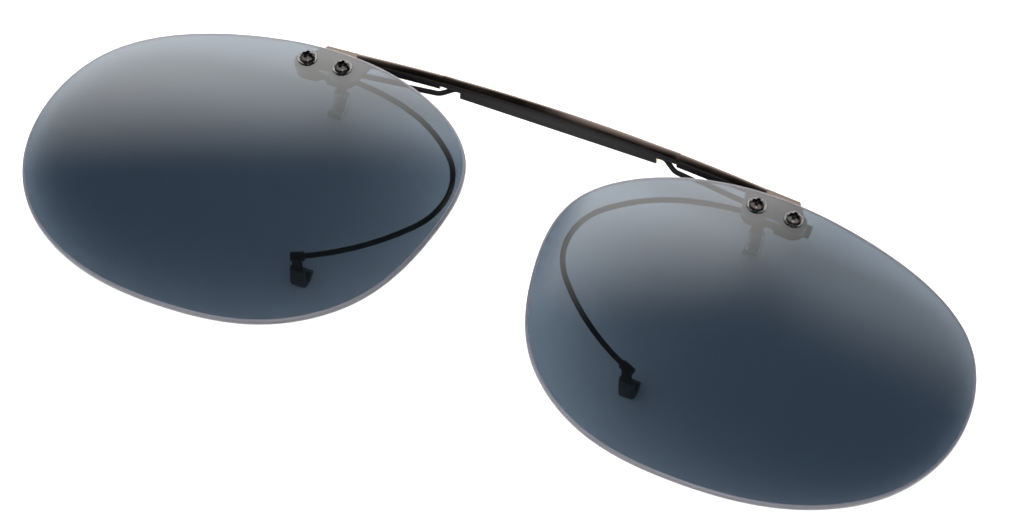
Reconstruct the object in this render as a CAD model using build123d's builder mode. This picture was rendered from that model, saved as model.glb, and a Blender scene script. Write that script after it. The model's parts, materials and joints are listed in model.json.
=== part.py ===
from build123d import *
from math import cos, radians, sin, sqrt
import os

# Clip-on flip lenses: a pair of rimless tinted lenses on a bar that flips up on a sprung wire clip.
#
# Units are millimetres. The part lies on a table, front side up, on the four sleeved claws of its clip:
# +X is to the wearer's left, +Y is up on the wearer's face and +Z is forward, away from the eyes.
# The origin is under the middle of the whole part, on the table.

# --- Lenses -----------------------------------------------------------------------------------------
LENS_FRONT_R = 200.0  # curve of the lens front, nearly flat as on a clip-on
LENS_THICK = 0.8
LENS_WRAP = 6.45  # degrees that each lens turns back towards the temple
LENS_X = 31.4  # datum of each lens, from the middle plane
LENS_Y = -5.4
LENS_Z = 10.9  # height of the lens front at its datum, above the table
LENS_EDGE_BREAK = 0.15
# The rounded pilot shape, from the datum: temple side is +, up is +.
LENS_OUTLINE = [
    (37.5, 3.3),
    (33.7, 19.5),
    (16.0, 27.8),
    (0.0, 28.6),
    (-14.1, 24.5),
    (-23.1, 16.2),
    (-23.9, 2.1),
    (-18.9, -10.9),
    (-8.6, -18.5),
    (5.4, -20.2),
    (20.4, -17.1),
    (32.2, -8.6),
]

# --- Screws, washers and clear bushes that hold each lens -------------------------------------------
SCREW_SPOTS = [(-0.5, 25.8), (4.9, 26.0)]  # inner and outer screw, from the lens datum
SCREW_R = 0.7
SCREW_HEAD_R = 1.07
SCREW_HEAD_RIM = 0.3
SCREW_HEAD_HEIGHT = 0.78
SCREW_TAIL = 0.12  # the thread end stands this far out of the end plate
RECESS_LENGTH = 1.35
RECESS_WIDTH = 0.34
RECESS_DEPTH = 0.42
WASHER_R = 1.35
WASHER_THICK = 0.2
WASHER_GAP = 0.01
BUSH_BOSS_R = 1.0
BUSH_BORE_R = 0.75
BUSH_LOBE_R = 1.95
BUSH_WAIST = 2.2
BUSH_PLATE = 1.3  # also spaces the lens off the end plate
DRILL_LENGTH = 5.4  # long enough to drill through the lens and what is behind it

# --- Front bar with an end plate behind each lens ---------------------------------------------------
BAR_BOW_R = 200.0  # the bar bows forward with the lenses
BAR_FRONT_Z = 9.0
BAR_Y = 24.75
BAR_HEIGHT = 1.8
BAR_DEPTH = 1.5
BAR_HALF = 30.5  # half the length of the full bar, before it becomes the end plate
BAR_TAPER = 5.0  # the back thins over this length at each end
BAR_TOP_ROUND = 0.6  # on the front, along the top edge
BAR_LOW_ROUND = 0.18  # on the front, along the lower edge
PLATE_THICK = 0.9
PLATE_LOBE_R = 1.9
PLATE_NECK = (-3.4, 4.4)  # ends of the plate's top edge, along the lens
PLATE_NOTCH_R = 0.9  # between the lobes
PLATE_EDGE_BREAK = 0.08
BAR_BACK_ROUND = 0.25

# --- Hinge: a folded channel on the back of the bar, bushes, and the wire that turns in them ---------
CHANNEL_HALF = 14.6
CHANNEL_HEIGHT = 1.7
CHANNEL_DEPTH = 1.6
CHANNEL_WALL = 0.2
CHANNEL_ROUND = 0.3
SEAT_HALF = 17.6  # half the length of the bar's flat seat, which also clears the wire's first bend
HINGE_DROP = 0.72  # the pin's axis, behind the bar's flat seat
HINGE_BUSH_LENGTH = 2.0
HINGE_CLEARANCE = 0.03
WIRE_R = 0.38
WIRE_BENDS = [(15.6, 24.75, 6.78), (17.5, 23.6, 6.15)]  # where the wire bends out of the channel
WIRE_BEND_RADII = [1.6, 2.0, 6.0]
CAM_FLAT = 0.31  # half the distance across the wire's flats
CAM_HALF = 11.0
LEAF_HALF = 11.8
LEAF_THICK = 0.1
LEAF_WIDTH = 1.1
LEAF_CREST = 0.41  # the leaf's crest, behind the pin's axis
LEAF_BOW = 0.15

# --- Wire clip --------------------------------------------------------------------------------------
ARM_R = 0.39
ARM_Z = 6.305  # height of the arm's plane under the lens datum
ARM_FALL = 0.0417  # how fast that plane falls towards the brow
ARM_ROOT = (6.6, 27.0)
ARM_STRAIGHT = 3.2
ARM_BENDS = [(40.0, 19.0), (25.0, 28.5), (10.1, 81.5), (34.0, 29.0)]  # radius and turn of each bend
WIRE_SPACING = 0.8  # between the hinge wire and the arm, side by side in the ferrule
WIRE_FERRULE_BEND = 0.8  # where the hinge wire straightens out behind the end plate, along the lens
FERRULE_LENGTH = 3.2
FERRULE_WALL = 0.22

# --- Claws and their sleeves ------------------------------------------------------------------------
CLAW_WIDTH = 1.4
CLAW_THICK = 0.35
CLAW_R = 1.4  # of the hook, on the middle of the strip
CLAW_TURN = 135.0
SLEEVE_WIDTH = 2.1
SLEEVE_WALL = 0.325
SLEEVE_ROUND = 0.28
UPPER_CLAW_U = -0.5  # along the lens, from its datum
UPPER_LEG_Y = 20.4
UPPER_TAB_Y = 22.2
UPPER_TAB_Z = 4.66
CLAW_BEND_R = 0.5
SLEEVE_PAST_TIP = 14.0  # degrees of sleeve beyond the claw's end
UPPER_SLEEVE_TOP_Z = 3.0
LOWER_SLEEVE_TOP_Z = 4.7
EYE_R = 0.66
EYE_LENGTH = 1.9
EYE_CAP = 0.15  # the closed end of the eye
EYE_LEG_BACK = 0.15  # the strip leaves the eye this far below its middle

WRAP_COS = cos(radians(LENS_WRAP))
WRAP_SIN = sin(radians(LENS_WRAP))
LENS_PLANE = Plane(
    origin=(LENS_X, LENS_Y, LENS_Z), x_dir=(WRAP_COS, 0, -WRAP_SIN), z_dir=(WRAP_SIN, 0, WRAP_COS)
)
LENS_CENTRE = LENS_PLANE.from_local_coords(Vector(0, 0, -LENS_FRONT_R))
LENS_BACK_R = LENS_FRONT_R - LENS_THICK
PLATE_FRONT_R = LENS_BACK_R - BUSH_PLATE
PLATE_BACK_R = PLATE_FRONT_R - PLATE_THICK
SHELL_DEPTH = 12.0  # deep enough to cut any curved plate from
BAR_BACK_Z = BAR_FRONT_Z - BAR_DEPTH
HINGE_Z = BAR_BACK_Z - HINGE_DROP
ARM_PLANE = Plane(
    origin=(LENS_X, LENS_Y, ARM_Z),
    x_dir=(WRAP_COS, 0, -WRAP_SIN),
    z_dir=Vector(WRAP_COS, 0, -WRAP_SIN).cross(Vector(0, 1, -ARM_FALL)),
)
HOOK_Z = CLAW_R + CLAW_THICK / 2 + SLEEVE_WALL  # centre of each hook, so that its sleeve is on the table
NECK_TOP_V = BAR_Y + BAR_HEIGHT / 2 - LENS_Y


def screw_plane(spot, height):
    """A plane square to the lens at a screw, that height above the lens front."""
    u, v = spot
    rise = sqrt(LENS_FRONT_R**2 - u**2 - v**2)
    normal = Vector(u, v, rise) / LENS_FRONT_R
    place = LENS_PLANE.from_local_coords(normal * (LENS_FRONT_R + height) - Vector(0, 0, LENS_FRONT_R))
    lens_x, lens_y, lens_z = LENS_PLANE.x_dir, LENS_PLANE.y_dir, LENS_PLANE.z_dir
    return Plane(origin=place, x_dir=lens_x, z_dir=lens_x * normal.X + lens_y * normal.Y + lens_z * normal.Z)


def save(part, name):
    """Labels a finished piece and writes it."""
    part.label = name
    export_step(part, f"parts/{name}.step")


def save_pair(part, name):
    """Writes a piece from the wearer's left side, and its mirror image for the right side."""
    save(part, f"{name}_left")
    with BuildPart() as other:
        mirror(part, about=Plane.YZ)
    save(other.part, f"{name}_right")


os.makedirs("parts", exist_ok=True)

# ===== Lens: a slice of a spherical shell, drilled for two screws ====================================
with BuildPart() as lens:
    with BuildSketch(LENS_PLANE.offset(-SHELL_DEPTH)):
        with BuildLine():
            Spline(*LENS_OUTLINE, periodic=True)
        make_face()
    extrude(amount=2 * SHELL_DEPTH)
    with Locations(LENS_CENTRE):
        Sphere(LENS_FRONT_R, rotation=(90, 0, 0), mode=Mode.INTERSECT)
        Sphere(LENS_BACK_R, rotation=(90, 0, 0), mode=Mode.SUBTRACT)
    chamfer(lens.edges(), LENS_EDGE_BREAK)
    for spot in SCREW_SPOTS:
        with Locations(screw_plane(spot, -LENS_THICK / 2)):
            Cylinder(BUSH_BOSS_R, DRILL_LENGTH, mode=Mode.SUBTRACT)
save_pair(lens.part, "lens")

# ===== Twin bush: a clear moulding with two bosses that line the lens's holes ========================
with BuildPart() as twin_bush:
    with BuildSketch(LENS_PLANE.offset(-SHELL_DEPTH)):
        with Locations(*SCREW_SPOTS):
            Circle(BUSH_LOBE_R)
        inner, outer = SCREW_SPOTS
        with Locations(((inner[0] + outer[0]) / 2, (inner[1] + outer[1]) / 2)):
            Rectangle(outer[0] - inner[0], BUSH_WAIST)
    extrude(amount=SHELL_DEPTH)
    with Locations(LENS_CENTRE):
        Sphere(LENS_BACK_R, rotation=(90, 0, 0), mode=Mode.INTERSECT)
        Sphere(PLATE_FRONT_R, rotation=(90, 0, 0), mode=Mode.SUBTRACT)
    boss_height = LENS_THICK + BUSH_PLATE / 2
    for spot in SCREW_SPOTS:
        with Locations(screw_plane(spot, -boss_height / 2)):
            Cylinder(BUSH_BOSS_R, boss_height)
        with Locations(screw_plane(spot, -LENS_THICK / 2)):
            Cylinder(BUSH_BORE_R, DRILL_LENGTH, mode=Mode.SUBTRACT)
save_pair(twin_bush.part, "twin_bush")

# ===== Washers: four thin clear rings under the screw heads ==========================================
with BuildPart() as screw_washers:
    for spot in SCREW_SPOTS:
        with BuildSketch(screw_plane(spot, WASHER_GAP)):
            Circle(WASHER_R)
            Circle(BUSH_BORE_R, mode=Mode.SUBTRACT)
        extrude(amount=WASHER_THICK)
    mirror(about=Plane.YZ)
save(screw_washers.part, "screw_washers")

# ===== Screws: four pan heads with a cross recess, on plain shanks ===================================
SCREW_REACH = WASHER_GAP + WASHER_THICK + LENS_THICK + BUSH_PLATE + PLATE_THICK + SCREW_TAIL
with BuildPart() as lens_screws:
    for spot in SCREW_SPOTS:
        seat = screw_plane(spot, WASHER_GAP + WASHER_THICK)
        profile_plane = Plane(origin=seat.origin, x_dir=seat.x_dir, z_dir=-seat.y_dir)
        with BuildSketch(profile_plane):
            with BuildLine():
                Polyline((0, -SCREW_REACH), (SCREW_R, -SCREW_REACH), (SCREW_R, 0), (SCREW_HEAD_R, 0))
                Line((SCREW_HEAD_R, 0), (SCREW_HEAD_R, SCREW_HEAD_RIM))
                TangentArc((0, SCREW_HEAD_HEIGHT), (SCREW_HEAD_R, SCREW_HEAD_RIM), tangent=(1, 0))
                Line((0, SCREW_HEAD_HEIGHT), (0, -SCREW_REACH))
            make_face()
        revolve(axis=Axis(seat.origin, seat.z_dir))
        with BuildSketch(seat.offset(SCREW_HEAD_HEIGHT - RECESS_DEPTH)):
            Rectangle(RECESS_LENGTH, RECESS_WIDTH)
            Rectangle(RECESS_WIDTH, RECESS_LENGTH)
        extrude(amount=SCREW_HEAD_HEIGHT, mode=Mode.SUBTRACT)
    mirror(about=Plane.YZ)
save(lens_screws.part, "lens_screws")

# ===== End plate: two lobes that carry the screws, under a straight neck that joins the bar ============
with BuildPart() as end_plate:
    with BuildSketch(LENS_PLANE.offset(-SHELL_DEPTH)):
        with BuildLine():
            for spot in SCREW_SPOTS:
                CenterArc(spot, PLATE_LOBE_R, 0, 360)
            Line((PLATE_NECK[0], NECK_TOP_V), (PLATE_NECK[1], NECK_TOP_V))
        make_hull()
        with Locations(((inner[0] + outer[0]) / 2, inner[1] - PLATE_LOBE_R)):
            Circle(PLATE_NOTCH_R, mode=Mode.SUBTRACT)
    extrude(amount=SHELL_DEPTH)
    with Locations(LENS_CENTRE):
        Sphere(PLATE_FRONT_R, rotation=(90, 0, 0), mode=Mode.INTERSECT)
        Sphere(PLATE_BACK_R, rotation=(90, 0, 0), mode=Mode.SUBTRACT)
    chamfer(end_plate.edges(), PLATE_EDGE_BREAK)

# ===== Front bar: a bowed bar that thins into the end plates, with a flat seat for the hinge =========
front_end_z = BAR_FRONT_Z - BAR_HALF**2 / (2 * BAR_BOW_R)
taper_x = BAR_HALF - BAR_TAPER
taper_z = BAR_BACK_Z - taper_x**2 / (2 * BAR_BOW_R)
with BuildPart() as front_bar:
    with BuildSketch(Plane.XZ.offset(-BAR_Y - BAR_HEIGHT / 2)):
        with BuildLine():
            ThreePointArc((-BAR_HALF, front_end_z), (0, BAR_FRONT_Z), (BAR_HALF, front_end_z))
            Polyline((BAR_HALF, front_end_z), (BAR_HALF, front_end_z - PLATE_THICK), (taper_x, taper_z))
            ThreePointArc((taper_x, taper_z), (0, BAR_BACK_Z), (-taper_x, taper_z))
            Polyline((-taper_x, taper_z), (-BAR_HALF, front_end_z - PLATE_THICK), (-BAR_HALF, front_end_z))
        make_face()
    extrude(amount=BAR_HEIGHT)
    arcs = front_bar.edges().filter_by(GeomType.CIRCLE).sort_by(Axis.Z)
    fillet(arcs[-2:].sort_by(Axis.Y)[-1:], BAR_TOP_ROUND)
    low_arcs = front_bar.edges().filter_by(GeomType.CIRCLE).group_by(Axis.Y)[0].sort_by(Axis.Z)
    fillet(low_arcs[-1:], BAR_LOW_ROUND)
    fillet(front_bar.edges().filter_by(GeomType.CIRCLE).sort_by(Axis.Z)[:2], BAR_BACK_ROUND)
    with Locations((0, BAR_Y, BAR_BACK_Z)):
        Box(
            2 * SEAT_HALF,
            2 * BAR_HEIGHT,
            BAR_DEPTH,
            align=(Align.CENTER, Align.CENTER, Align.MAX),
            mode=Mode.SUBTRACT,
        )
    add(end_plate.part)
    mirror(end_plate.part, about=Plane.YZ)
    for side_x in (1, -1):
        for spot in SCREW_SPOTS:
            hole = screw_plane(spot, -LENS_THICK)
            if side_x > 0:
                place = hole
            else:
                place = Plane(
                    origin=(-hole.origin.X, hole.origin.Y, hole.origin.Z),
                    z_dir=(-hole.z_dir.X, hole.z_dir.Y, hole.z_dir.Z),
                )
            with Locations(place):
                Cylinder(SCREW_R, DRILL_LENGTH, mode=Mode.SUBTRACT)
save(front_bar.part, "front_bar")

# ===== Hinge channel: a folded channel brazed to the bar's seat, open towards the bar =================
with BuildPart() as hinge_channel:
    with BuildSketch(Plane.YZ.offset(-CHANNEL_HALF)):
        with Locations((BAR_Y, BAR_BACK_Z)):
            Rectangle(CHANNEL_HEIGHT, CHANNEL_DEPTH, align=(Align.CENTER, Align.MAX))
            inside_height = CHANNEL_HEIGHT - 2 * CHANNEL_WALL
            inside_depth = CHANNEL_DEPTH - CHANNEL_WALL
            Rectangle(inside_height, inside_depth, align=(Align.CENTER, Align.MAX), mode=Mode.SUBTRACT)
    extrude(amount=2 * CHANNEL_HALF)
    fillet(hinge_channel.edges().filter_by(Axis.X).group_by(Axis.Z)[0], CHANNEL_ROUND)
save(hinge_channel.part, "hinge_channel")

# ===== Hinge bushes: a block in each end of the channel, bored for the wire ==========================
with BuildPart() as hinge_bush:
    with BuildSketch(Plane.YZ.offset(CHANNEL_HALF - HINGE_BUSH_LENGTH)):
        with Locations((BAR_Y, BAR_BACK_Z)):
            Rectangle(inside_height, inside_depth, align=(Align.CENTER, Align.MAX))
        with Locations((BAR_Y, HINGE_Z)):
            Circle(WIRE_R + HINGE_CLEARANCE, mode=Mode.SUBTRACT)
    extrude(amount=HINGE_BUSH_LENGTH)
save_pair(hinge_bush.part, "hinge_bush")

# ===== Detent leaf: a thin bowed spring that the flats of the wire snap against ======================
with BuildPart() as detent_leaf:
    with BuildSketch(Plane.XZ.offset(-BAR_Y - LEAF_WIDTH / 2)):
        with BuildLine():
            crest_z = HINGE_Z - LEAF_CREST
            foot_z = crest_z - LEAF_BOW
            ThreePointArc((-LEAF_HALF, foot_z), (0, crest_z), (LEAF_HALF, foot_z))
            Line((LEAF_HALF, foot_z), (LEAF_HALF, foot_z - LEAF_THICK))
            ThreePointArc(
                (LEAF_HALF, foot_z - LEAF_THICK), (0, crest_z - LEAF_THICK), (-LEAF_HALF, foot_z - LEAF_THICK)
            )
            Line((-LEAF_HALF, foot_z - LEAF_THICK), (-LEAF_HALF, foot_z))
        make_face()
    extrude(amount=LEAF_WIDTH)
save(detent_leaf.part, "detent_leaf")

# ===== Hinge wire: straight through the channel, then down and back to the ferrule on each side ======
ferrule_v = ARM_ROOT[1] + WIRE_SPACING
ferrule_run = [(WIRE_FERRULE_BEND, ferrule_v), (ARM_ROOT[0], ferrule_v)]
wire_half = [Vector(*point) for point in WIRE_BENDS]
wire_half += [ARM_PLANE.from_local_coords(Vector(u, v, 0)) for u, v in ferrule_run]
mirrored_half = [Vector(-point.X, point.Y, point.Z) for point in reversed(wire_half)]
with BuildPart() as hinge_wire:
    with BuildLine() as wire_path:
        FilletPolyline(*mirrored_half, *wire_half, radius=[*reversed(WIRE_BEND_RADII), *WIRE_BEND_RADII])
    with BuildSketch(Plane(origin=wire_path.line @ 0, z_dir=wire_path.line % 0)):
        Circle(WIRE_R)
    sweep(path=wire_path.line)
    for quarter in range(4):
        turn = radians(90 * quarter)
        flat = Plane(origin=(0, BAR_Y, HINGE_Z), x_dir=(1, 0, 0), z_dir=(0, cos(turn), sin(turn)))
        with Locations(flat.offset(CAM_FLAT)):
            Box(
                2 * CAM_HALF,
                2 * WIRE_R,
                WIRE_R,
                align=(Align.CENTER, Align.CENTER, Align.MIN),
                mode=Mode.SUBTRACT,
            )
save(hinge_wire.part, "hinge_wire")

# ===== Spring arm: the C-shaped wire from the ferrule round to the lower claw =========================
with BuildLine() as arm_line:
    bend = Line(ARM_ROOT, (ARM_ROOT[0] - ARM_STRAIGHT, ARM_ROOT[1]))
    for bend_radius, bend_turn in ARM_BENDS:
        bend = JernArc(start=bend @ 1, tangent=bend % 1, radius=bend_radius, arc_size=bend_turn)
arm_path = ARM_PLANE.from_local_coords(arm_line.line)
with BuildPart() as spring_arm:
    with BuildSketch(Plane(origin=arm_path @ 0, z_dir=arm_path % 0)):
        Circle(ARM_R)
    sweep(path=arm_path)
save_pair(spring_arm.part, "spring_arm")

# ===== Ferrule: a flat sleeve brazed over the ends of the hinge wire and the spring arm ===============
with BuildPart() as wire_ferrule:
    ferrule_start = Vector(ARM_ROOT[0] - FERRULE_LENGTH, ARM_ROOT[1] + WIRE_SPACING / 2, 0)
    ferrule_plane = Plane(
        origin=ARM_PLANE.from_local_coords(ferrule_start), x_dir=ARM_PLANE.y_dir, z_dir=ARM_PLANE.x_dir
    )
    with BuildSketch(ferrule_plane):
        SlotCenterToCenter(WIRE_SPACING, 2 * (ARM_R + FERRULE_WALL))
    extrude(amount=FERRULE_LENGTH + FERRULE_WALL)
    add(spring_arm.part, mode=Mode.SUBTRACT)
    add(hinge_wire.part, mode=Mode.SUBTRACT)
save_pair(wire_ferrule.part, "wire_ferrule")

# ===== Upper claw: a strip brazed behind the arm, bent back over the brow and hooked down ============
upper_x = LENS_X + UPPER_CLAW_U * WRAP_COS
with BuildPart() as upper_claw:
    with BuildSketch(Plane.YZ.offset(upper_x)):
        with BuildLine():
            bend_corner = (UPPER_LEG_Y, UPPER_TAB_Z)
            FilletPolyline(
                (UPPER_TAB_Y, UPPER_TAB_Z), bend_corner, (UPPER_LEG_Y, HOOK_Z), radius=CLAW_BEND_R
            )
            CenterArc((UPPER_LEG_Y - CLAW_R, HOOK_Z), CLAW_R, 0, -CLAW_TURN)
        trace(line_width=CLAW_THICK)
    extrude(amount=CLAW_WIDTH / 2, both=True)
    add(spring_arm.part, mode=Mode.SUBTRACT)
    add(hinge_wire.part, mode=Mode.SUBTRACT)
save_pair(upper_claw.part, "upper_claw")

# ===== Lower claw: a strip hooked up, with an eye brazed over the end of the spring arm ==============
arm_end = arm_path @ 1
arm_heading = arm_path % 1
eye_middle = arm_end - arm_heading * (EYE_LENGTH / 2 - EYE_CAP)
lower_leg_y = eye_middle.Y - EYE_LEG_BACK
with BuildPart() as lower_claw:
    with BuildSketch(Plane.YZ.offset(eye_middle.X)):
        with BuildLine():
            Line((lower_leg_y, eye_middle.Z - EYE_R / 2), (lower_leg_y, HOOK_Z))
            CenterArc((lower_leg_y + CLAW_R, HOOK_Z), CLAW_R, 180, CLAW_TURN)
        trace(line_width=CLAW_THICK)
    extrude(amount=CLAW_WIDTH / 2, both=True)
    with Locations(Plane(origin=eye_middle, z_dir=arm_heading)):
        Cylinder(EYE_R, EYE_LENGTH)
    add(spring_arm.part, mode=Mode.SUBTRACT)
save_pair(lower_claw.part, "lower_claw")


def make_sleeve(name, claw, x, leg_y, hook_y, start_angle, turn, top_z):
    """A soft tube over a claw, closed round its tip."""
    with BuildPart() as sleeve:
        with BuildSketch(Plane.YZ.offset(x)):
            with BuildLine():
                Line((leg_y, top_z), (leg_y, HOOK_Z))
                CenterArc((hook_y, HOOK_Z), CLAW_R, start_angle, turn)
            trace(line_width=CLAW_THICK + 2 * SLEEVE_WALL)
        extrude(amount=SLEEVE_WIDTH / 2, both=True)
        fillet(sleeve.faces().filter_by(Axis.X).edges(), SLEEVE_ROUND)
        add(claw, mode=Mode.SUBTRACT)
    save_pair(sleeve.part, name)


# ===== Sleeves: clear on the upper claws and black on the lower ones, so that nothing is scratched ===
sleeve_turn = CLAW_TURN + SLEEVE_PAST_TIP
make_sleeve(
    "upper_sleeve",
    upper_claw.part,
    upper_x,
    UPPER_LEG_Y,
    UPPER_LEG_Y - CLAW_R,
    0,
    -sleeve_turn,
    UPPER_SLEEVE_TOP_Z,
)
make_sleeve(
    "lower_sleeve",
    lower_claw.part,
    eye_middle.X,
    lower_leg_y,
    lower_leg_y + CLAW_R,
    180,
    sleeve_turn,
    LOWER_SLEEVE_TOP_Z,
)
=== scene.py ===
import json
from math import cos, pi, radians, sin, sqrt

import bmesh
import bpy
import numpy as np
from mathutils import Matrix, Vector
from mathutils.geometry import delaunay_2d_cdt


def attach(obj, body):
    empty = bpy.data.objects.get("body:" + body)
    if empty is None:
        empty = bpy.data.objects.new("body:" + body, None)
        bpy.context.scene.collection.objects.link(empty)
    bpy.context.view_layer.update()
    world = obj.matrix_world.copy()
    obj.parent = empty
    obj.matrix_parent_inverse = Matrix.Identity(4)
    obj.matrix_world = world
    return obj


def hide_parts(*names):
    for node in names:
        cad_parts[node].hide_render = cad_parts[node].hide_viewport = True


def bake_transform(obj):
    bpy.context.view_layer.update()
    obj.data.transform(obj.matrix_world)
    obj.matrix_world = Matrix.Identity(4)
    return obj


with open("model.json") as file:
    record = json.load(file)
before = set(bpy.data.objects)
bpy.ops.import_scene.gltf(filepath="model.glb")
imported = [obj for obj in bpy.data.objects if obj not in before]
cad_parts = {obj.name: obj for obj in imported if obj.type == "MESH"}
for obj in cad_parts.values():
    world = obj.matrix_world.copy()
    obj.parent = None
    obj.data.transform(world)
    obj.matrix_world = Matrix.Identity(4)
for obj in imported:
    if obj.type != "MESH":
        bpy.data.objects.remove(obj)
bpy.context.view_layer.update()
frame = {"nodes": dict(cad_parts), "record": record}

# %% [markdown]
# # Clip-on flip lenses
# Two tinted rimless lenses hang from a thin metal bar. The bar turns on a wire clip with four sleeved
# claws, which grip a pair of spectacles, so the lenses can flip up. The part lies on a pale table, front
# side up. The frame holds the exact CAD pieces, in metres: +X is to the wearer's left, +Y is up on the face
# and +Z is forward. This lesson keeps the pieces whose CAD shape is right, and builds finer meshes for the
# rest.

MM = 0.001

# %% [markdown]
# ## Camera
# A long lens from about 0.9 m keeps the two tinted lenses nearly the same size, as a product shot does. It
# could be aimed with a constraint. It is turned by its azimuth and elevation instead, because those two
# angles say at once how a flat thing is looked at: from which side, and how steeply.

# %% Camera
CAMERA_AZIMUTH = radians(22.523)
CAMERA_ELEVATION = radians(54.296)
CAMERA_PLACE = Vector((207.09, -491.90, 747.96)) * MM
FOCAL_LENGTH = 236.4  # mm, on a 36 mm sensor

camera_data = bpy.data.cameras.new("camera")
camera_data.lens = FOCAL_LENGTH
camera_data.clip_start = 0.05
camera = bpy.data.objects.new("camera", camera_data)
bpy.context.scene.collection.objects.link(camera)
towards_camera = Vector(
    (
        sin(CAMERA_AZIMUTH) * cos(CAMERA_ELEVATION),
        -cos(CAMERA_AZIMUTH) * cos(CAMERA_ELEVATION),
        sin(CAMERA_ELEVATION),
    )
)
camera.location = CAMERA_PLACE
camera.rotation_euler = (-towards_camera).to_track_quat("-Z", "Y").to_euler()
bpy.context.scene.camera = camera
bpy.context.scene.view_settings.view_transform = "Standard"
print("camera, m:", [round(v, 3) for v in camera.location])

# %% [markdown]
# ## Colours and nodes
# Colours are written as sRGB hex values, as a paint chart gives them, and one function turns them into the
# linear numbers that shaders use. A second small function adds any node with its settings and its links,
# which keeps each material short enough to read in one go.

# %% Colour and node helpers
def linear(hex_colour):
    """An sRGB hex colour as linear red, green, blue and alpha."""
    parts = [int(hex_colour[i : i + 2], 16) / 255 for i in (1, 3, 5)]
    return [c / 12.92 if c <= 0.04045 else ((c + 0.055) / 1.055) ** 2.4 for c in parts] + [1.0]


def add(tree, kind, sockets=None, **settings):
    """Adds a node. sockets gives an input a value, or the output that feeds it."""
    made = tree.nodes.new("ShaderNode" + kind)
    for key, value in settings.items():
        setattr(made, key, value)
    for key, value in (sockets or {}).items():
        if isinstance(value, bpy.types.NodeSocket):
            tree.links.new(value, made.inputs[key])
        else:
            made.inputs[key].default_value = value
    return made


def new_material(name):
    """An empty node material, its tree, and the tree's output."""
    made = bpy.data.materials.new(name)
    made.use_nodes = True
    made.node_tree.nodes.clear()
    return made, made.node_tree, add(made.node_tree, "OutputMaterial")


def blend_colours(tree, share, first, second):
    """The output of a node that goes from one hex colour to another as share goes from 0 to 1."""
    factor, low, high, result = 0, 6, 7, 2  # the Mix node's sockets for colours
    sockets = {factor: share, low: linear(first), high: linear(second)}
    return add(tree, "Mix", sockets, data_type="RGBA").outputs[result]


def rise(tree, value, low, high, start=0.0, end=1.0):
    """The output of a node that goes smoothly from start to end as value goes from low to high."""
    sockets = {"Value": value, "From Min": low, "From Max": high, "To Min": start, "To Max": end}
    return add(tree, "MapRange", sockets, interpolation_type="SMOOTHSTEP").outputs["Result"]


def combined(tree, operation, first, second):
    """The output of a sum, a product or another operation on two values."""
    return add(tree, "Math", {0: first, 1: second}, operation=operation).outputs["Value"]


def scale_of(size):
    """The Scale of a texture whose pattern repeats about every size mm."""
    return 1.0 / (size * MM)


# %% [markdown]
# ## Light
# Clear and glossy things show the room more than themselves. Here the room is a white light tent, which
# lights the table evenly and reaches in under the lenses. A tent alone would lay a grey haze over them, so
# its back is a dark opening, in the directions that the lenses mirror to the camera. Softboxes hang low in
# that opening, side by side, the last one dimmer. Only the tops of the lenses lean back far enough to
# mirror them, which gives each lens a milky brow that melts into clear glass. The tent is bright overhead
# in front and dim near the table, so the shade under the middle of a lens is deep and its rim is light. The
# world's own shader says all this by direction, with soft edges, which gives less noise than lamps would.

# %% The light tent
TENT_LOW = 1.3  # brightness near the table
TENT_HIGH = 4.3  # brightness overhead in front
TENT_HEIGHT = (0.25, 0.60)  # the heights between which the first goes over into the second
OPENING = 0.04  # brightness of the dark opening
OPENING_BACK = (0.10, 0.32)  # how far back, and how high, the sky must be for the opening
OPENING_HEIGHT = (0.24, 0.42)
SOFTBOXES = [  # tilt of the lower edge, where the light begins, where it is full, and brightness
    (-0.35, 0.72, 0.90, 5.2),
    (-0.5, 0.57, 0.79, 4.9),
    (0.0, 0.59, 0.76, 2.0),
]
PARTINGS = [(-0.235, -0.2), (-0.04, 0.08)]  # where one softbox gives way to the next, from left to right
BACKDROP = 1.0  # brightness of the wall that the eye sees past the table

world = bpy.data.worlds.new("light_tent")
bpy.context.scene.world = world
world.use_nodes = True
tree = world.node_tree
tree.nodes.clear()
sky_x, sky_y, sky_z = add(tree, "SeparateXYZ", {0: add(tree, "TexCoord").outputs["Generated"]}).outputs
opening = combined(tree, "MULTIPLY", rise(tree, sky_y, *OPENING_BACK), rise(tree, sky_z, *OPENING_HEIGHT))
tent = rise(tree, sky_z, *TENT_HEIGHT, TENT_LOW, TENT_HIGH)
dimmed = add(tree, "MapRange", {"Value": opening, "To Min": tent, "To Max": OPENING}).outputs["Result"]
boxes = []
for tilt, begins, full, brightness in SOFTBOXES:
    leaning = combined(tree, "ADD", combined(tree, "MULTIPLY", sky_x, tilt), sky_y)
    boxes.append(rise(tree, leaning, begins, full, 0.0, brightness))
softboxes = boxes[0]
for box, limits in zip(boxes[1:], PARTINGS):
    sockets = {"Value": rise(tree, sky_x, *limits), "To Min": softboxes, "To Max": box}
    softboxes = add(tree, "MapRange", sockets).outputs["Result"]
strength = combined(tree, "ADD", dimmed, softboxes)
rays = add(tree, "LightPath").outputs
seen = combined(tree, "MAXIMUM", rays["Is Camera Ray"], rays["Is Transmission Ray"])
tent_light = add(tree, "Background", {"Color": linear("#fffdfb"), "Strength": strength})
backdrop = add(tree, "Background", {"Color": linear("#ffffff"), "Strength": BACKDROP})
shown = add(tree, "MixShader", {0: seen, 1: tent_light.outputs[0], 2: backdrop.outputs[0]})
add(tree, "OutputWorld", {"Surface": shown.outputs[0]})

# %% [markdown]
# A lamp over the front gives the metal its small crisp highlights. It is wide, so its shadows stay soft.

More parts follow.
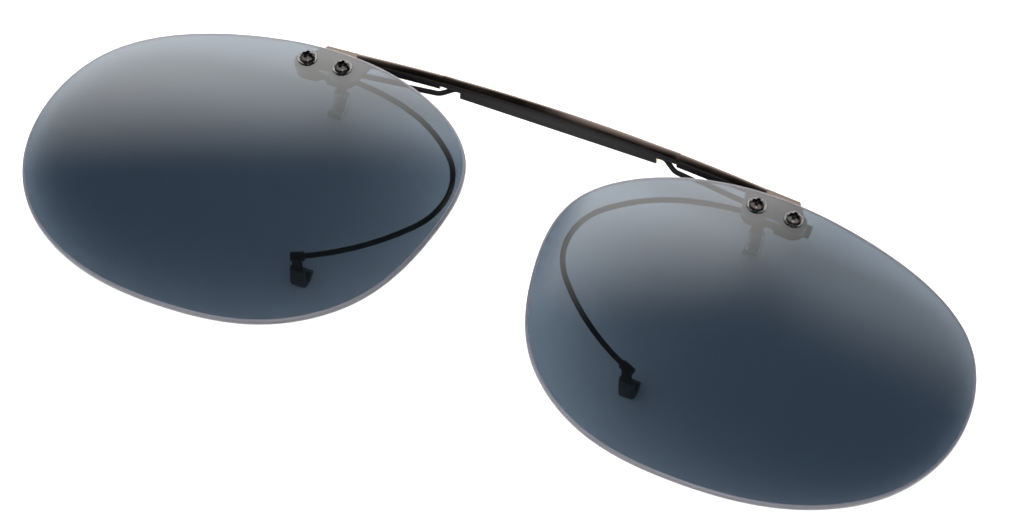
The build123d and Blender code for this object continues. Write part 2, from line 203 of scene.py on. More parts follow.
# %% Key lamp
key_data = bpy.data.lights.new("key_lamp", "AREA")
key_data.shape = "DISK"
key_data.size = 0.4
key_data.energy = 5.0
key = bpy.data.objects.new("key_lamp", key_data)
key.location = (0.35, -0.75, 1.2)
key.rotation_euler = (-key.location).to_track_quat("-Z", "Y").to_euler()
bpy.context.scene.collection.objects.link(key)

# %% [markdown]
# ## Table
# A matt white sheet, a little uneven as paper is. It only has to be pale and wide enough for any view. Its
# texture has no Vector, so its Scale counts the blots along a side of the whole sheet.

# %% Table
TABLE_HALF = 3.0  # m
BLOTS = 900.0
white_paper, tree, output = new_material("white_paper")
fibres = add(tree, "TexNoise", {"Scale": BLOTS, "Detail": 3.0})
tone = blend_colours(tree, fibres.outputs["Fac"], "#f3f3f2", "#f7f7f6")
paper = add(tree, "BsdfPrincipled", {"Base Color": tone, "Roughness": 0.95, "Specular IOR Level": 0.1})
tree.links.new(paper.outputs[0], output.inputs["Surface"])
table_mesh = bpy.data.meshes.new("table")
corners = [(x * TABLE_HALF, y * TABLE_HALF, 0.0) for x, y in ((-1, -1), (1, -1), (1, 1), (-1, 1))]
table_mesh.from_pydata(corners, [], [(0, 1, 2, 3)])
table_mesh.materials.append(white_paper)
table = bpy.data.objects.new("table", table_mesh)
bpy.context.scene.collection.objects.link(table)

# %% [markdown]
# ## Tinted lens: cast acrylic sheet
# The lenses are cut from tinted sheet, blown to a shallow curve and polished. Such a lens passes about a
# tenth of the light, a little more of the blue than of the red, and bends what is behind it. Glass shaders
# block lamp light, which would leave the table under them black. So light rays meet a transparent shader of
# the same tint, and the eye meets the glass. The surface is all but perfect, with the faint waviness of
# blown sheet and a few wiped streaks that only dull its gloss.

# %% Tinted acrylic
LENS_TINT = "#4f5b67"  # what both faces together let through
ACRYLIC_IOR = 1.49
WIPED = 8.33  # mm between the wiped streaks
WAVES = 22.2  # mm between the waves of the blown sheet
WAVE_HEIGHT = 0.4  # mm


def let_light_through(tree, glass, tint, output):
    """Puts glass on the output for the eye, and a plain tinted pane for rays on their way from a light."""
    rays = add(tree, "LightPath").outputs
    lighting = combined(tree, "MAXIMUM", rays["Is Shadow Ray"], rays["Is Diffuse Ray"])
    each_face = [sqrt(c) for c in linear(tint)]
    pane = add(tree, "BsdfTransparent", {"Color": each_face})
    both = add(tree, "MixShader", {0: lighting, 1: glass.outputs[0], 2: pane.outputs[0]})
    tree.links.new(both.outputs[0], output.inputs["Surface"])


tinted_acrylic, tree, output = new_material("tinted_acrylic")
place = add(tree, "TexCoord").outputs["Object"]
streaks = add(tree, "Mapping", {"Vector": place, "Scale": (1.0, 3.0, 1.0), "Rotation": (0, 0, radians(25))})
wiped = add(tree, "TexNoise", {"Vector": streaks.outputs[0], "Scale": scale_of(WIPED), "Detail": 4.0})
waviness = add(tree, "TexNoise", {"Vector": place, "Scale": scale_of(WAVES), "Detail": 1.0})
wavy = add(tree, "Bump", {"Height": waviness.outputs["Fac"], "Strength": 0.02, "Distance": WAVE_HEIGHT * MM})
sockets = {
    "Base Color": linear(LENS_TINT),
    "Roughness": rise(tree, wiped.outputs["Fac"], 0.45, 0.8, 0.0, 0.045),
    "IOR": ACRYLIC_IOR,
    "Transmission Weight": 1.0,
    "Normal": wavy.outputs[0],
}
let_light_through(tree, add(tree, "BsdfPrincipled", sockets), LENS_TINT, output)

# %% [markdown]
# The rim is ground and only half polished. It gathers light from inside the sheet, so the eye gets a thin
# pale line, slightly violet, along the near edge of each lens.

# %% Ground rim
SCRATCHES = 0.333  # mm between the grinder's scratches, coarser than real ones so that they show
SCRATCH_DEPTH = 0.01  # mm

ground_rim, tree, output = new_material("ground_acrylic_rim")
place = add(tree, "TexCoord").outputs["Object"]
scratches = add(tree, "TexNoise", {"Vector": place, "Scale": scale_of(SCRATCHES), "Detail": 2.0})
sockets = {"Height": scratches.outputs["Fac"], "Strength": 0.3, "Distance": SCRATCH_DEPTH * MM}
ground = add(tree, "Bump", sockets)
sockets = {
    "Base Color": blend_colours(tree, scratches.outputs["Fac"], "#4b4953", "#5d5b66"),
    "Roughness": 0.3,
    "IOR": ACRYLIC_IOR,
    "Transmission Weight": 0.75,
    "Normal": ground.outputs[0],
}
rim_shader = add(tree, "BsdfPrincipled", sockets)
tree.links.new(rim_shader.outputs[0], output.inputs["Surface"])

# %% [markdown]
# ## Clear plastics
# The bushes and washers are moulded in clear polycarbonate, which is hard and bright. The sleeves on the
# upper claws are soft clear vinyl, which is a little milky and has a duller skin. One function makes both,
# with a fine unevenness in the skin. Milk is the share of light that the plastic scatters instead of
# passing.

# %% Clear polycarbonate and clear vinyl
MOULD_SKIN = 0.556  # mm between the hills of the moulded skin


def clear_plastic(name, tint, ior, roughness, ripple, milk):
    """A see-through plastic. ripple is the height of the unevenness of its skin, in mm."""
    material, tree, output = new_material(name)
    place = add(tree, "TexCoord").outputs["Object"]
    skin = add(tree, "TexNoise", {"Vector": place, "Scale": scale_of(MOULD_SKIN), "Detail": 2.0})
    uneven = add(tree, "Bump", {"Height": skin.outputs["Fac"], "Strength": 0.4, "Distance": ripple * MM})
    sockets = {
        "Base Color": linear(tint),
        "Roughness": rise(tree, skin.outputs["Fac"], 0.2, 0.8, roughness * 0.6, roughness * 1.4),
        "IOR": ior,
        "Transmission Weight": 1.0 - milk,
        "Normal": uneven.outputs[0],
    }
    let_light_through(tree, add(tree, "BsdfPrincipled", sockets), tint, output)
    return material


clear_polycarbonate = clear_plastic("clear_polycarbonate", "#cfd6d6", 1.58, 0.03, 0.02, 0.0)
clear_vinyl = clear_plastic("clear_vinyl", "#e2e7e3", 1.53, 0.12, 0.05, 0.22)

# %% [markdown]
# ## Plated and painted metals
# The bar, its end plates and the claws are nickel silver, barrel polished and plated to a dark brownish
# gunmetal. The screws are black chrome, which is brighter and smoother. All of them mirror the room, with a
# soft edge to each highlight. Drawing and polishing leave fine lines along the piece, and handling leaves
# patches that are slightly duller. The wires and the channel are dipped in black lacquer, which is not a
# metal to the eye at all: it is a black body under a thin clear skin, which mirrors less than usual.

# %% Metals
HANDLED = 3.85  # mm between the duller patches
LINE_DEPTH = 0.003  # mm


def polished(name, dark, light, roughness, line_spacing, metallic=1.0, skin=0.5):
    """A metal, or a lacquer over it, with polishing lines along X. line_spacing is in mm."""
    material, tree, output = new_material(name)
    place = add(tree, "TexCoord").outputs["Object"]
    stretched = add(tree, "Mapping", {"Vector": place, "Scale": (0.05, 1.0, 1.0)})
    sockets = {"Vector": stretched.outputs[0], "Scale": scale_of(line_spacing), "Detail": 2.0}
    lines = add(tree, "TexNoise", sockets).outputs["Fac"]
    sockets = {"Vector": place, "Scale": scale_of(HANDLED), "Detail": 3.0}
    patches = add(tree, "TexNoise", sockets).outputs["Fac"]
    grain = add(tree, "Bump", {"Height": lines, "Strength": 0.2, "Distance": LINE_DEPTH * MM})
    sockets = {
        "Base Color": blend_colours(tree, patches, dark, light),
        "Metallic": metallic,
        "Specular IOR Level": skin,
        "Roughness": rise(tree, patches, 0.2, 0.8, roughness * 0.7, roughness * 1.3),
        "Normal": grain.outputs[0],
    }
    shader = add(tree, "BsdfPrincipled", sockets)
    tree.links.new(shader.outputs[0], output.inputs["Surface"])
    return material


gunmetal = polished("gunmetal_plating", "#423a36", "#4e4541", 0.13, 0.12)
black_chrome = polished("black_chrome", "#2b2828", "#353232", 0.1, 0.2)
black_lacquer = polished("black_lacquer", "#08080a", "#0f0f11", 0.32, 0.1, metallic=0.0, skin=0.04)
brass = polished("turned_brass", "#b08d4f", "#c9a563", 0.25, 0.1)
spring_steel = polished("rolled_spring_steel", "#8b8c90", "#a1a2a6", 0.3, 0.08)

# %% [markdown]
# ## Black rubber
# The sleeves on the lower claws are dipped black vinyl rubber. It scatters almost nothing, has a broad soft
# sheen, and a fine leathery skin.

# %% Black rubber
PEBBLES = 0.385  # mm between the pebbles of the skin
PEBBLE_HEIGHT = 0.02  # mm

black_rubber, tree, output = new_material("black_vinyl_rubber")
place = add(tree, "TexCoord").outputs["Object"]
skin = add(tree, "TexNoise", {"Vector": place, "Scale": scale_of(PEBBLES), "Detail": 3.0})
pebbled = add(tree, "Bump", {"Height": skin.outputs["Fac"], "Strength": 0.5, "Distance": PEBBLE_HEIGHT * MM})
shade = blend_colours(tree, skin.outputs["Fac"], "#0d0e10", "#17191b")
sockets = {"Base Color": shade, "Roughness": 0.42, "IOR": 1.52, "Normal": pebbled.outputs[0]}
rubber = add(tree, "BsdfPrincipled", sockets)
tree.links.new(rubber.outputs[0], output.inputs["Surface"])

# %% [markdown]
# ## Pieces that stay as the CAD model has them
# The channel, brass bushes, detent leaf, ferrules, claws and hinge wire already have their true shape, with
# fine facets and smooth normals, so they only need their finish. The bar, the clear bushes and washers, the
# screws, the arms, the sleeves and the lenses are rebuilt below with smoother meshes.

# %% Finishes for the CAD pieces
CAD_FINISHES = {
    "hinge_channel": black_lacquer,
    "hinge_bush_left": brass,
    "hinge_bush_right": brass,
    "detent_leaf": spring_steel,
    "wire_ferrule_left": black_lacquer,
    "wire_ferrule_right": black_lacquer,
    "upper_claw_left": gunmetal,
    "upper_claw_right": gunmetal,
    "lower_claw_left": black_lacquer,
    "lower_claw_right": black_lacquer,
    "hinge_wire": black_lacquer,
}
for node, material in CAD_FINISHES.items():
    mesh = frame["nodes"][node].data
    mesh.materials.clear()
    mesh.materials.append(material)

# %% [markdown]
# ## Mesh tools
# All shapes below are given in mm. Most pieces are lofts: closed loops of points, one after another, joined
# by rows of faces and closed at both ends. `finished` turns a mesh into an object that stands for its CAD
# nodes, rides on their body and takes the given materials.

# %% Mesh tools
BODY_OF = {n: body for body, nodes in frame["record"]["behaviour"]["bodies"].items() for n in nodes}
SHARP = radians(34)  # an edge that turns more than this keeps its crease
SIDES = ("left", "right")


def mirrored(points, side):
    """Points for one side of the wearer, given those for the left."""
    return np.asarray(points) * np.array([1.0 if side == "left" else -1.0, 1.0, 1.0])


def ring(code, points):
    """New vertices of a mesh, at points in mm."""
    return [code.verts.new(p * MM) for p in points]


def wall(code, rows, material_index=0):
    """Rows of faces between closed rings of vertices."""
    for upper, lower in zip(rows, rows[1:]):
        for i in range(len(upper)):
            j = (i + 1) % len(upper)
            code.faces.new((upper[i], upper[j], lower[j], lower[i])).material_index = material_index


def loft(code, loops):
    """A solid through closed loops of points, with flat ends."""
    rows = [ring(code, loop) for loop in loops]
    wall(code, rows)
    code.faces.new(rows[0])
    code.faces.new(rows[-1])


def finished(code, name, materials, stands_for, rides=True):
    """The object made from a mesh. With rides false, it rides on no body."""
    bmesh.ops.recalc_face_normals(code, faces=code.faces)
    mesh = bpy.data.meshes.new(name)
    code.to_mesh(mesh)
    code.free()
    mesh.shade_smooth()
    mesh.set_sharp_from_angle(angle=SHARP)
    for material in materials:
        mesh.materials.append(material)
    made = bpy.data.objects.new(name, mesh)
    bpy.context.scene.collection.objects.link(made)
    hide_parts(stands_for)
    if rides:
        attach(made, BODY_OF[stands_for])
    print(name, len(mesh.vertices), "vertices")
    return made


# %% [markdown]
# ## Lens shape
# The outline is one smooth closed curve through a few points, as a lens is cut from a former. The sheet is
# a slice of two spheres with one centre. A grid of triangles inside the outline is lifted on to each
# sphere, and a rim with rolled edges joins them. Subdividing a coarse mesh would also do, but would not
# keep the curve true, and a lens shows every error as a bent reflection.

# %% Lens numbers, in mm
LENS_R = 200.0
LENS_THICK = 0.8
LENS_WRAP = radians(6.45)
LENS_DATUM = np.array([31.4, -5.4, 10.9])
LENS_EDGE = 0.2  # radius of the rolled edge
LENS_BORDER = 0.15  # a narrow strip inside it, which keeps the shading of the face flat up to the edge
LENS_OUTLINE = [
    (37.5, 3.3),
    (33.7, 19.5),
    (16.0, 27.8),
    (0.0, 28.6),
    (-14.1, 24.5),
    (-23.1, 16.2),
    (-23.9, 2.1),
    (-18.9, -10.9),
    (-8.6, -18.5),
    (5.4, -20.2),
    (20.4, -17.1),
    (32.2, -8.6),
]
SCREW_SPOTS = [(-0.5, 25.8), (4.9, 26.0)]
HOLE_R = 1.0
LENS_X = np.array([cos(LENS_WRAP), 0.0, -sin(LENS_WRAP)])
LENS_Y = np.array([0.0, 1.0, 0.0])
LENS_Z = np.array([sin(LENS_WRAP), 0.0, cos(LENS_WRAP)])


def closed_curve(points, count):
    """count points along a smooth closed curve through the given ones, by a periodic cubic spline."""
    knots = np.array(points, float)
    size = len(knots)
    span = np.linalg.norm(np.roll(knots, -1, 0) - knots, axis=1)
    slope = (np.roll(knots, -1, 0) - knots) / span[:, None]
    system = np.zeros((size, size))
    for i in range(size):
        system[i, i - 1] = span[i - 1]
        system[i, i] = 2 * (span[i - 1] + span[i])
        system[i, (i + 1) % size] = span[i]
    bend = np.linalg.solve(system, 6 * (slope - np.roll(slope, 1, 0)))
    curve = []
    starts = np.concatenate([[0], np.cumsum(span)])
    for s in np.linspace(0, starts[-1], count, endpoint=False):
        i = np.searchsorted(starts, s, side="right") - 1
        h, t = span[i], s - starts[i]
        after = (i + 1) % size
        curve.append(
            knots[i]
            + t * (slope[i] - h * (2 * bend[i] + bend[after]) / 6)
            + t**2 * bend[i] / 2
            + t**3 * (bend[after] - bend[i]) / (6 * h)
        )
    return np.array(curve)


def on_lens(flat, depth):
    """Points of the lens plane, lifted on to the sphere that lies depth under the lens front, in mm."""
    u, v = flat[:, 0], flat[:, 1]
    fall = np.sqrt((LENS_R - depth) ** 2 - u**2 - v**2) - LENS_R
    return LENS_DATUM + np.outer(u, LENS_X) + np.outer(v, LENS_Y) + np.outer(fall, LENS_Z)


def circle(centre, radius, count):
    """count points round a circle in the lens plane."""
    turn = np.linspace(0, 2 * pi, count, endpoint=False)
    return np.array(centre) + radius * np.stack([np.cos(turn), np.sin(turn)], 1)


def arc(centre, radius, start, end, count):
    """count points of an arc in the lens plane, by angles in degrees."""
    turns = np.radians(np.linspace(start, end, count))
    return [(centre[0] + radius * cos(t), centre[1] + radius * sin(t)) for t in turns]


def inset(loop, distance):
    """A closed loop of plane points, moved inwards."""
    along = np.roll(loop, -1, 0) - np.roll(loop, 1, 0)
    along /= np.linalg.norm(along, axis=1)[:, None]
    return loop + distance * np.stack([-along[:, 1], along[:, 0]], 1)


# %% [markdown]
# The grid inside the outline has rows of points set for equal triangles. Points too near the rim or a hole
# are dropped, and a Delaunay triangulation, the one with the fewest thin triangles, joins the rest.

# %% Lens grid
OUTLINE_POINTS = 288
HOLE_POINTS = 48
GRID = 1.6  # mm between the points inside the outline
GRID_GAP = GRID * 0.55  # mm kept free beside the rim and the holes


def inside_loop(point, loop):
    """True if the point is inside the closed loop, by counting the edges to its right."""
    ahead = np.roll(loop, -1, 0)
    spans = (loop[:, 1] > point[1]) != (ahead[:, 1] > point[1])
    a, b = loop[spans], ahead[spans]
    cross = a[:, 0] + (point[1] - a[:, 1]) / (b[:, 1] - a[:, 1]) * (b[:, 0] - a[:, 0])
    return int((cross > point[0]).sum()) % 2 == 1


def from_holes(point):
    """Distance from a point to the middle of the nearest screw hole."""
    return min(np.linalg.norm(point - np.array(spot)) for spot in SCREW_SPOTS)


def lens_grid(rim):
    """Points and triangles that fill the rim, round the screw holes, and the size of each loop."""
    low, high = rim.min(0), rim.max(0)
    rows = enumerate(np.arange(low[1], high[1], GRID * sqrt(3) / 2))
    spots = [(x + GRID / 2 * (i % 2), y) for i, y in rows for x in np.arange(low[0], high[0], GRID)]
    clear = [
        p
        for p in np.array(spots)
        if np.linalg.norm(rim - p, axis=1).min() > GRID_GAP and from_holes(p) > HOLE_R + GRID_GAP
    ]
    loops = [rim] + [circle(spot, HOLE_R, HOLE_POINTS) for spot in SCREW_SPOTS]
    points = np.concatenate([*loops, np.array(clear)])
    edges = []
    start = 0
    for loop in loops:
        edges += [(start + i, start + (i + 1) % len(loop)) for i in range(len(loop))]
        start += len(loop)
    verts, _, faces, origins, _, _ = delaunay_2d_cdt([Vector(p) for p in points], edges, [], 0, 1e-6)
    source = [o[0] for o in origins]
    kept = []
    for face in faces:
        middle = np.mean([verts[i] for i in face], axis=0)
        if from_holes(middle) > HOLE_R and inside_loop(middle, rim):
            kept.append([source[i] for i in face])
    return points, kept, [len(loop) for loop in loops]


outline = closed_curve(LENS_OUTLINE, OUTLINE_POINTS)
grid_points, grid_faces, loop_sizes = lens_grid(inset(outline, LENS_EDGE + LENS_BORDER))
print("lens outline, mm:", np.ptp(outline, axis=0).round(2), "triangles:", len(grid_faces))

# %% Lens meshes
EDGE_STEPS = 4


def make_lens(side):
    """One lens: front, back, a ground rim with rolled edges and the walls of two holes."""
    code = bmesh.new()
    front = ring(code, mirrored(on_lens(grid_points, 0.0), side))
    back = ring(code, mirrored(on_lens(grid_points, LENS_THICK), side))
    for a, b, c in grid_faces:
        code.faces.new((front[a], front[b], front[c]))
        code.faces.new((back[c], back[b], back[a]))
    rolled = []
    for step in range(EDGE_STEPS + 1):
        turn = pi / 2 * step / EDGE_STEPS
        rolled.append((inset(outline, LENS_EDGE * (1 - sin(turn))), LENS_EDGE * (1 - cos(turn))))
    far = [(flat, LENS_THICK - depth) for flat, depth in reversed(rolled)]
    rim = loop_sizes[0]
    between = [ring(code, mirrored(on_lens(flat, depth), side)) for flat, depth in rolled + far]
    wall(code, [front[:rim], *between, back[:rim]], material_index=1)
    start = rim
    for size in loop_sizes[1:]:
        wall(code, [front[start : start + size], back[start : start + size]])
        start += size
    return finished(code, f"tinted_lens_{side}", [tinted_acrylic, ground_rim], f"lens_{side}")


for side in SIDES:
    make_lens(side)

# %% [markdown]
# ## Front bar and end plates
# The bar is drawn strip. Its upper front edge is well rounded, and the other edges are only broken. It bows
# with the lenses. In the middle its back is milled flat for the hinge channel, and at each end it thins
# into a plate that carries two screws behind the lens. One loft makes the bar, section by section, with two
# sections at each step of the seat. The plates are lofts of their outline, lifted on to the lens's sphere.
# Faces of the bar that point downwards get black lacquer, as painted shade on its underside.

# %% Front bar, in mm
BOW_R = 200.0
BAR_FRONT_Z = 9.0
BAR_Y = 24.75
BAR_HEIGHT = 1.8
BAR_DEPTH = 1.5
BAR_HALF = 30.5
TAPER_X = 25.5  # the bar thins from here to its ends
SEAT_HALF = 17.6  # the flat seat of the channel
TOP_ROUND = 0.6
LOW_ROUND = 0.18
BACK_ROUND = 0.25
SEAT_ROUND = 0.02
CORNER_POINTS = 9
END_STATIONS = 27  # sections of each bare end, and of the seat
SEAT_STATIONS = 71
PAINTED_SHADE_NORMAL_Y = -0.25  # a face whose normal points down by more than this gets black lacquer, as painted shade
PLATE_THICK = 0.9
PLATE_DEPTH = 2.1  # behind the lens front
PLATE_LOBE_R = 1.9
PLATE_LOBE_POINTS = 17
PLATE_NECK = (-3.4, 4.4)
PLATE_BREAK = 0.08
NOTCH_R = 0.75
NOTCH_UP = 0.1  # its middle, above the lowest points of the lobes
NOTCH_POINTS = 11


def bow(x):
    """How far the bowed bar has fallen back at x."""
    return BOW_R - sqrt(BOW_R**2 - x * x)


def bar_section(x, on_seat):
    """The bar's outline at x: a rectangle with rounded corners, clockwise from the lower front."""
    front = BAR_FRONT_Z - bow(x)
    back = BAR_FRONT_Z - BAR_DEPTH - bow(min(abs(x), TAPER_X))
    if abs(x) > TAPER_X:
        share = (abs(x) - TAPER_X) / (BAR_HALF - TAPER_X)
        back += share * (BAR_FRONT_Z - bow(BAR_HALF) - PLATE_THICK - back)
    back_round = min(BACK_ROUND, (front - back) * 0.3)  # the thin ends can't hold the full rounding
    if on_seat:
        back, back_round = BAR_FRONT_Z - BAR_DEPTH, SEAT_ROUND
    top_round = min(TOP_ROUND, (front - back) * 0.65)
    half = BAR_HEIGHT / 2
    corners = [
        (1, 1, top_round, 0),
        (-1, 1, LOW_ROUND, 90),
        (-1, -1, back_round, 180),
        (1, -1, back_round, 270),
    ]
    points = []
    for y_side, z_side, radius, start in corners:
        middle_y = BAR_Y + y_side * (half - radius)
        middle_z = front - radius if z_side > 0 else back + radius
        for degrees in np.linspace(start, start + 90, CORNER_POINTS):
            turn = radians(degrees)
            points.append((x, middle_y + radius * cos(turn), middle_z + radius * sin(turn)))
    return np.array(points)


def plate_outline():
    """The end plate in the lens plane: two lobes with a notch between them, and a straight neck."""
    (u1, v1), (u2, v2) = SCREW_SPOTS
    neck_v = BAR_Y + BAR_HEIGHT / 2 - LENS_DATUM[1]
    inner_lobe = arc((u1, v1), PLATE_LOBE_R, 175, 272, PLATE_LOBE_POINTS)
    notch = arc(((u1 + u2) / 2, v1 - PLATE_LOBE_R + NOTCH_UP), NOTCH_R, 172, 8, NOTCH_POINTS)
    outer_lobe = arc((u2, v2), PLATE_LOBE_R, 268, 378, PLATE_LOBE_POINTS)
    return np.array(inner_lobe + notch + outer_lobe + [(PLATE_NECK[1], neck_v), (PLATE_NECK[0], neck_v)])


stations = [(x, False) for x in np.linspace(-BAR_HALF, -SEAT_HALF, END_STATIONS)]
stations += [(x, True) for x in np.linspace(-SEAT_HALF, SEAT_HALF, SEAT_STATIONS)]
stations += [(x, False) for x in np.linspace(SEAT_HALF, BAR_HALF, END_STATIONS)]
code = bmesh.new()
loft(code, [bar_section(x, on_seat) for x, on_seat in stations])
flat = plate_outline()
steps = [(PLATE_BREAK, 0), (0, PLATE_BREAK), (0, PLATE_THICK - PLATE_BREAK), (PLATE_BREAK, PLATE_THICK)]
for side in SIDES:
    loft(code, [mirrored(on_lens(inset(flat, edge), PLATE_DEPTH + depth), side) for edge, depth in steps])
bmesh.ops.recalc_face_normals(code, faces=code.faces)
for face in code.faces:
    if face.normal.y < PAINTED_SHADE_NORMAL_Y and abs(face.calc_center_median().x) < BAR_HALF * MM:
        face.material_index = 1  # painted shade: the bar's underside gets the channel's black lacquer
finished(code, "bar_with_plates", [gunmetal, black_lacquer], "front_bar")

# %% [markdown]
# ## Clear bushes and washers
# A clear twin bush lines both holes of a lens and spaces it off the end plate, and a clear washer keeps
# each screw head off the acrylic. Clear pieces show every facet as a dark line, so both are lofts with many
# points.

# %% Clear bushes and washers, in mm
LOBE_R = 1.95
WAIST_HALF = 1.1
BOSS_R = 0.98
WASHER_R = 1.35
WASHER_BORE_R = 0.75
WASHER_UNDER, WASHER_TOP = 0.01, 0.2  # above the lens front
WASHER_EDGES = [
    (WASHER_R, WASHER_UNDER),
    (WASHER_R, WASHER_TOP),
    (WASHER_BORE_R, WASHER_TOP),
    (WASHER_BORE_R, WASHER_UNDER),
]
WASHER_POINTS = 64
LOBE_POINTS = 49
BOSS_POINTS = 48
CLEAR = 0.01  # a hair of air between the bush and what it touches
BUSH_ROUND = 0.1

waist = np.degrees(np.arcsin(WAIST_HALF / LOBE_R))
inner_spot, outer_spot = SCREW_SPOTS
bush_outline = np.array(
    arc(inner_spot, LOBE_R, waist, 360 - waist, LOBE_POINTS)
    + arc(outer_spot, LOBE_R, waist - 180, 180 - waist, LOBE_POINTS)
)
top, under = LENS_THICK + CLEAR, PLATE_DEPTH - CLEAR
steps = [(BUSH_ROUND, top), (0, top + BUSH_ROUND), (0, under - BUSH_ROUND), (BUSH_ROUND, under)]
for side in SIDES:
    code = bmesh.new()
    loft(code, [mirrored(on_lens(inset(bush_outline, edge), depth), side) for edge, depth in steps])
    for spot in SCREW_SPOTS:
        boss = circle(spot, BOSS_R, BOSS_POINTS)
        loft(code, [mirrored(on_lens(boss, depth), side) for depth in (0.0, LENS_THICK)])
    finished(code, f"clear_bush_{side}", [clear_polycarbonate], f"twin_bush_{side}")
code = bmesh.new()
for side in SIDES:
    for spot in SCREW_SPOTS:
        rows = []
        for radius, height in WASHER_EDGES:
            rows.append(ring(code, mirrored(on_lens(circle(spot, radius, WASHER_POINTS), -height), side)))
        wall(code, rows + rows[:1])
finished(code, "clear_washers", [clear_polycarbonate], "screw_washers")

# %% [markdown]
# ## Screws
# Four pan heads, each a shallow dome over a straight rim. The cross recess is pressed into the dome, so a
# polar grid with a height for each point is the simple way to make it: the height drops where the point is
# inside one of the two slots. The slots get black lacquer as painted shade, which gives the heads their dark
# cross.

# %% Screws, in mm
HEAD_R = 1.07
HEAD_RIM = 0.3
HEAD_HEIGHT = 0.78
HEAD_SEAT = 0.21  # above the lens front, on the washer
SHANK_R = 0.7
SHANK_END = -3.33
SLOT_HALF = (0.74, 0.23)
SLOT_DEPTH = 0.45
SLOT_WALL = 0.05  # the slot's walls slope over this width
HEAD_RINGS = 40
HEAD_POINTS = 96


def slot_share(x, y):
    """1 in the recess, 0 outside it, and between the two on its walls."""
    inside = max(min(SLOT_HALF[0] - abs(a), SLOT_HALF[1] - abs(b)) for a, b in ((x, y), (y, x)))
    return min(max(inside / SLOT_WALL, 0.0), 1.0)


def head_height(radius, share):
    """Height of the dome at a radius, less the recess."""
    crown = HEAD_HEIGHT - HEAD_RIM
    dome_r = (HEAD_R**2 + crown**2) / (2 * crown)
    return HEAD_HEIGHT - dome_r + sqrt(dome_r**2 - radius**2) - share * SLOT_DEPTH


def add_screw(code, spot, side):
    """One screw: the dome's rings, the rim, the flat under the head, and the shank."""
    normal = np.array([spot[0], spot[1], sqrt(LENS_R**2 - spot[0] ** 2 - spot[1] ** 2)]) / LENS_R
    axis = normal @ np.array([LENS_X, LENS_Y, LENS_Z])
    across = LENS_X - (LENS_X @ axis) * axis
    across /= np.linalg.norm(across)
    up = np.cross(axis, across)
    seat = on_lens(np.array([spot]), -HEAD_SEAT)[0]
    turns = np.linspace(0, 2 * pi, HEAD_POINTS, endpoint=False) + pi / 4
    loops, shares = [], []
    for radius in np.linspace(HEAD_R / HEAD_RINGS, HEAD_R, HEAD_RINGS):
        flat = [(radius * cos(t), radius * sin(t)) for t in turns]
        shares.append([slot_share(x, y) for x, y in flat])
        loops.append([(x, y, head_height(radius, share)) for (x, y), share in zip(flat, shares[-1])])
    for radius, height in ((HEAD_R, 0.0), (SHANK_R, 0.0), (SHANK_R, SHANK_END)):
        loops.append([(radius * cos(t), radius * sin(t), height) for t in turns])
    rows = []
    for loop in loops:
        rows.append(ring(code, mirrored([seat + x * across + y * up + z * axis for x, y, z in loop], side)))
    wall(code, rows)
    # painted shade: the middle of the cross and the faces inside the slots get black lacquer
    code.faces.new(rows[0]).material_index = 1
    code.faces.new(rows[-1])
    painted_shade_verts = {v for row, share in zip(rows, shares) for v, s in zip(row, share) if s > 0.5}
    for face in {f for v in painted_shade_verts for f in v.link_faces}:
        if all(v in painted_shade_verts for v in face.verts):
            face.material_index = 1


code = bmesh.new()
for side in SIDES:
    for spot in SCREW_SPOTS:
        add_screw(code, spot, side)
finished(code, "cross_head_screws", [black_chrome, black_lacquer], "lens_screws")

# %% [markdown]
# ## Spring arms
# Each arm is one drawn wire, bent in its plane by four arcs from the ferrule round to the lower claw. A
# tube along that path is smoother than the CAD facets. When the claws are pulled apart the real arm bends,
# so the mesh rides on neither the clip nor the lower hook.

# %% Spring arms, in mm
ARM_R = 0.385
ARM_DATUM = np.array([31.4, -5.4, 6.305])
ARM_FALL = 0.0417
ARM_ROOT = (6.6, 27.0)
ARM_STRAIGHT = 3.2
ARM_BENDS = [(40.0, 19.0), (25.0, 28.5), (10.1, 81.5), (34.0, 29.0)]  # radius and turn of each bend
ARM_STEP = 0.7  # between the loops of a bend
TUBE_POINTS = 24
arm_normal = np.cross(LENS_X, [0.0, 1.0, -ARM_FALL])
arm_normal /= np.linalg.norm(arm_normal)
arm_up = np.cross(arm_normal, LENS_X)


def arm_path():
    """Points along the middle of the left arm."""
    place, heading = np.array(ARM_ROOT), pi
    points = [place - np.array([s, 0.0]) for s in np.linspace(0, ARM_STRAIGHT, 5)]
    place = points[-1]
    for radius, turn in ARM_BENDS:
        centre = place + radius * np.array([-sin(heading), cos(heading)])
        steps = max(6, int(radius * radians(turn) / ARM_STEP))
        for swept in np.linspace(0, radians(turn), steps + 1)[1:]:
            points.append(centre + radius * np.array([sin(heading + swept), -cos(heading + swept)]))
        heading += radians(turn)
        place = points[-1]
    return np.array([ARM_DATUM + u * LENS_X + v * arm_up for u, v in points])


def tube(path, radius, across):
    """Loops round a path that lies in a plane. across is the plane's normal."""
    headings = np.gradient(path, axis=0)
    headings /= np.linalg.norm(headings, axis=1)[:, None]
    loops = []
    for point, heading in zip(path, headings):
        side_way = np.cross(across, heading)
        turns = np.linspace(0, 2 * pi, TUBE_POINTS, endpoint=False)
        loops.append(point + radius * (np.outer(np.cos(turns), side_way) + np.outer(np.sin(turns), across)))
    return loops


path = arm_path()
print("left arm ends at, mm:", path[-1].round(2))
for side in SIDES:
    code = bmesh.new()
    loft(code, [mirrored(loop, side) for loop in tube(path, ARM_R, arm_normal)])
    arm = finished(code, f"wire_arm_{side}", [black_lacquer], f"spring_arm_{side}", rides=False)
    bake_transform(arm)

# %% [markdown]
# ## Sleeves
# Each sleeve is a soft flat tube, pushed over the claw and closed round its tip. It is hollow here too,
# with a hair of air round the claw, so the clear vinyl bends the light twice and shows the dark strip
# inside it.

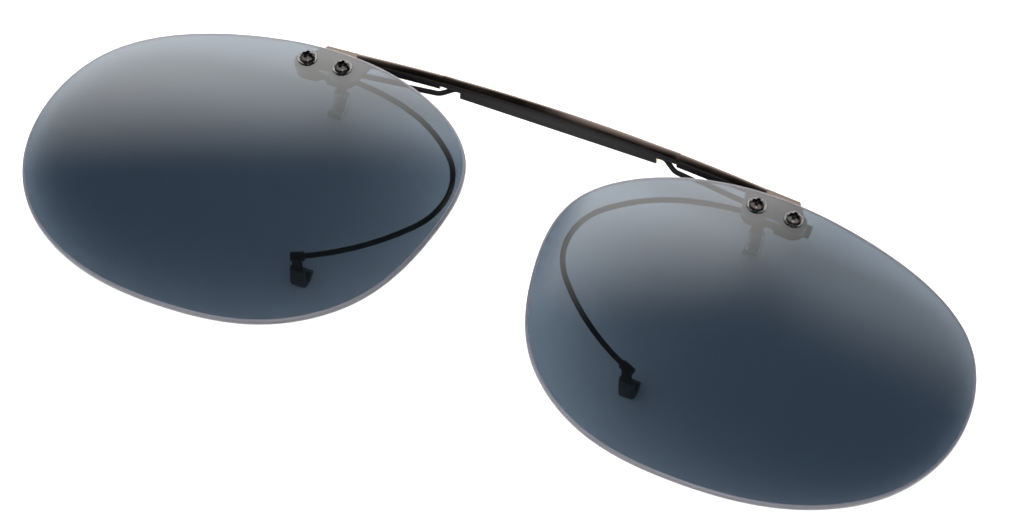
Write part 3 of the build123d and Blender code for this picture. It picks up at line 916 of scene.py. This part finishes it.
# %% Sleeves, in mm
CLAW_R = 1.4
CLAW_TURN = 135.0
HOOK_Z = 1.9
CLAW_HALF = (0.7, 0.175)  # half the strip's width and thickness
SLEEVE_HALF = (1.05, 0.5)
SLEEVE_ROUND = 0.28
SLEEVE_PAST = 12.0  # degrees of closed sleeve past the claw's tip
POCKET_PAST = 1.0  # degrees of its pocket past the claw's tip
POCKET_ROUND = 0.05
TIP_TURNS = (30, 60, 80)  # degrees round the sleeve's tip
TIP_REACH = 0.4  # how far the tip bulges, as a share of its rounding
AIR = 0.02
CORNER_STEPS = 6
LEG_LOOPS = 4
HOOK_LOOPS = 25


def strip_section(half_width, half_thick, corner):
    """A rectangle with rounded corners, as points (across, out)."""
    points = []
    for quarter, (a, b) in enumerate(((1, 1), (-1, 1), (-1, -1), (1, -1))):
        for degrees in np.linspace(90 * quarter, 90 * quarter + 90, CORNER_STEPS):
            turn = radians(degrees)
            across = a * (half_width - corner) + corner * cos(turn)
            out = b * (half_thick - corner) + corner * sin(turn)
            points.append((across, out))
    return np.array(points)


def hook_loops(x, leg_y, top_z, way, turn, section):
    """Loops of a strip that runs down its leg and round its hook. way is the side it hooks to, -1 or 1."""
    loops = []
    for z in np.linspace(top_z, HOOK_Z, LEG_LOOPS + 1)[:-1]:
        loops.append([(x + a, leg_y - way * b, z) for a, b in section])
    centre_y = leg_y + way * CLAW_R
    for degrees in np.linspace(0, turn, HOOK_LOOPS):
        s, c = sin(radians(degrees)), cos(radians(degrees))
        bent = [(x + a, centre_y - way * (CLAW_R + b) * c, HOOK_Z - (CLAW_R + b) * s) for a, b in section]
        loops.append(bent)
    return [np.array(loop) for loop in loops]


def make_sleeve(name, node, x, leg_y, top_z, way, material):
    """A hollow sleeve: an outer wall with a rounded tip, an inner wall, and a lip that joins them."""
    for side in SIDES:
        code = bmesh.new()
        section = strip_section(*SLEEVE_HALF, SLEEVE_ROUND)
        outer = hook_loops(x, leg_y, top_z, way, CLAW_TURN + SLEEVE_PAST, section)
        last, middle, before = outer[-1], outer[-1].mean(0), outer[-2].mean(0)
        ahead = (middle - before) / np.linalg.norm(middle - before)
        for degrees in TIP_TURNS:
            shrink = 1 - SLEEVE_ROUND * (1 - cos(radians(degrees))) / SLEEVE_HALF[1]
            bulge = ahead * SLEEVE_ROUND * TIP_REACH * sin(radians(degrees))
            outer.append(middle + (last - middle) * shrink + bulge)
        pocket = strip_section(*[half + AIR for half in CLAW_HALF], POCKET_ROUND)
        inner = hook_loops(x, leg_y, top_z, way, CLAW_TURN + POCKET_PAST, pocket)
        outer_rows = [ring(code, mirrored(loop, side)) for loop in outer]
        inner_rows = [ring(code, mirrored(loop, side)) for loop in inner]
        wall(code, outer_rows[::-1] + inner_rows)
        code.faces.new(outer_rows[-1])
        code.faces.new(inner_rows[-1])
        finished(code, f"{name}_{side}", [material], f"{node}_{side}")


UPPER_X = LENS_DATUM[0] - 0.5 * cos(LENS_WRAP)
LOWER_X = 24.096
make_sleeve("clear_sleeve", "upper_sleeve", UPPER_X, 20.4, 3.0, -1, clear_vinyl)
make_sleeve("black_sleeve", "lower_sleeve", LOWER_X, -10.4805, 4.7, 1, black_rubber)
